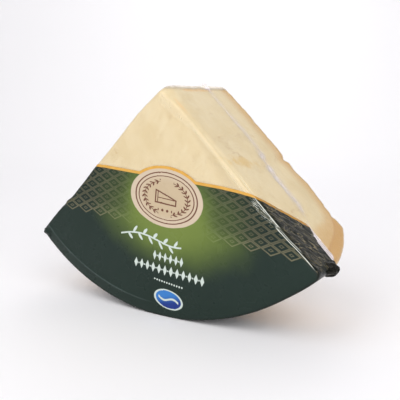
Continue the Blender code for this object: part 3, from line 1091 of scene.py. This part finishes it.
def bunch(name, place, way, size, pleats, seed):
    """A stub of gathered film, with pleats that run out to its end and twist a little."""
    length, thick, wide = size
    mesh = bmesh.new()
    bmesh.ops.create_uvsphere(mesh, u_segments=96, v_segments=64, radius=1)
    for vert in mesh.verts:
        round_it = math.atan2(vert.co.y, vert.co.x) + vert.co.z * 0.5
        pleat = 1 + PLEAT_SHARES[0] * math.cos(pleats * round_it + seed)
        pleat += PLEAT_SHARES[1] * math.cos((pleats * 2 + 1) * round_it)
        crush = 1 + CRUSH_SHARES[0] * noise.noise(vert.co * 2.2 + Vector((seed, 0, 0)))
        crush += CRUSH_SHARES[1] * ridged(vert.co + Vector((seed, 3, 0)), 0.45)
        vert.co = Vector((vert.co.x * wide * pleat, vert.co.y * thick * pleat, vert.co.z * length))
        vert.co *= crush
    facing = way.to_track_quat("Z", "Y").to_matrix().to_4x4()
    middle = place + Vector((0, low.y, 0)) - way * length / 2
    mesh.transform(Matrix.Translation(middle) @ facing)
    return new_piece(name, mesh)


knot = Finish("gathered_print")
place = knot.place()
creases = abs(knot.noise(place, 3.0, 4, 0.6, 0.8) - 0.5)
colour = knot.blend(knot.noise(place, 6, 3), KNOT, KNOT_LIGHTER)
colour = knot.blend(knot.step(creases, 0.02, 0.002) * 0.25, colour, KNOT_CREASE)
on_left = knot.step(knot.part(place, "X"), 1, -1)
surface = knot.shader({
    "Base Color": knot.blend(on_left, colour, EAR_GREEN),
    "Roughness": 0.3,
    "Specular IOR Level": 0.13,
    "Normal": knot.bump(creases, 0.6 * MM, 0.7),
})
gathered = knot.end(surface)
tail = bunch("tail", TAIL_PLACE, TAIL_WAY, TAIL_SIZE, TAIL_PLEATS, 1.0)
ear = bunch("ear", EAR_PLACE, EAR_WAY, EAR_SIZE, EAR_PLEATS, 4.0)
for piece in (tail, ear):
    piece.data.materials.append(gathered)
    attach(piece, "root")
    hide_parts("wrapped_wedge")

# The stage: a wide sheet of pale matt paper that the pack stands on. It lies flat towards the
# camera and sweeps up in a round behind the pack, in the direction that the camera looks.
VIEW_TURN = 0.56376
VIEW_LIFT = 0.15818
SWEEP_SIZE = 6.0
SWEEP_WIDER = 1.5
SWEEP_TURN = 0.9
SWEEP_RADIUS = 0.7

right_way = Vector((math.cos(VIEW_TURN), math.sin(VIEW_TURN), 0))
away = Vector((-math.sin(VIEW_TURN), math.cos(VIEW_TURN), 0))
upward = Vector((0, 0, 1))
mesh = bmesh.new()
bmesh.ops.create_grid(mesh, x_segments=2, y_segments=120, size=SWEEP_SIZE)
for vert in mesh.verts:
    far = vert.co.y
    rise = 0.0
    if far > SWEEP_TURN:
        turn = min((far - SWEEP_TURN) / SWEEP_RADIUS, math.pi / 2)
        rest = far - SWEEP_TURN - turn * SWEEP_RADIUS
        far = SWEEP_TURN + SWEEP_RADIUS * math.sin(turn)
        rise = SWEEP_RADIUS * (1 - math.cos(turn)) + rest
    vert.co = right_way * vert.co.x * SWEEP_WIDER + away * far + upward * rise
sweep = new_piece("sweep", mesh)
paper = Finish("pale_paper")
surface = paper.shader({
    "Base Color": linear(246, 245, 247),
    "Roughness": 0.8,
    "Specular IOR Level": 0.2,
})
sweep.data.materials.append(paper.end(surface))

# The light: three soft boxes in front, one high on the left, one on the right and one in the middle,
# a weak one behind for the rind, one that lights the paper behind the pack, and a pale room.
ROOM_COLOUR = (0.985, 0.985, 1.0, 1)
ROOM_STRENGTH = 0.46
scene = bpy.context.scene
scene.view_settings.view_transform = "Standard"
room = bpy.data.worlds.new("room")
scene.world = room
room.use_nodes = True
background = room.node_tree.nodes["Background"]
background.inputs["Color"].default_value = ROOM_COLOUR
background.inputs["Strength"].default_value = ROOM_STRENGTH


def soft_box(name, place, aim, size, power, colour):
    """A square lamp that points at a place."""
    lamp = bpy.data.lights.new(name, "AREA")
    lamp.shape = "SQUARE"
    lamp.size = size
    lamp.energy = power
    lamp.color = colour
    item = bpy.data.objects.new(name, lamp)
    bpy.context.scene.collection.objects.link(item)
    item.visible_camera = False
    item.location = place
    item.rotation_mode = "QUATERNION"
    item.rotation_quaternion = (Vector(aim) - Vector(place)).to_track_quat("-Z", "Y")


rear_place = away * 1.3 + right_way * 0.2 + upward * 1.1
wall_place = away * 0.6 + right_way * 0.4 + upward * 1.6
wall_aim = away * 2.0 + right_way * 0.4 + upward * 0.8
soft_box("key", (-0.55, -1.25, 1.55), (0, 0, 0.08), 1.6, 11.5, (1.0, 0.985, 0.965))
soft_box("fill", (1.3, -0.9, 0.9), (0, 0, 0.08), 1.4, 17.5, (0.98, 0.98, 0.99))
soft_box("front", (0.25, -1.4, 0.85), (0, 0, 0.05), 1.6, 6.5, (1.0, 0.99, 0.98))
soft_box("rear", rear_place, (0, 0, 0.1), 1.0, 3, (1.0, 1.0, 1.0))
soft_box("wall", wall_place, wall_aim, 1.0, 4, (1.0, 0.995, 0.98))

# The camera stands where the photograph's did: in front, to the right and a little above the pack,
# with a longish lens.
LENS = 55.67
SENSOR = 36
VIEW_PLACE = (0.3001, -0.4145 + low.y, 0.1839)
VIEW_ROLL = -0.0028
NEAREST = 0.01
camera = bpy.data.cameras.new("camera")
camera.lens = LENS
camera.sensor_width = SENSOR
camera.clip_start = NEAREST
viewer = bpy.data.objects.new("camera", camera)
scene.collection.objects.link(viewer)
viewer.location = VIEW_PLACE
viewer.rotation_mode = "QUATERNION"
back_way = upward * math.sin(VIEW_LIFT) - away * math.cos(VIEW_LIFT)
viewer.rotation_quaternion = (-back_way).to_track_quat("-Z", "Y") @ Quaternion((0, 0, 1), -VIEW_ROLL)
scene.camera = viewer
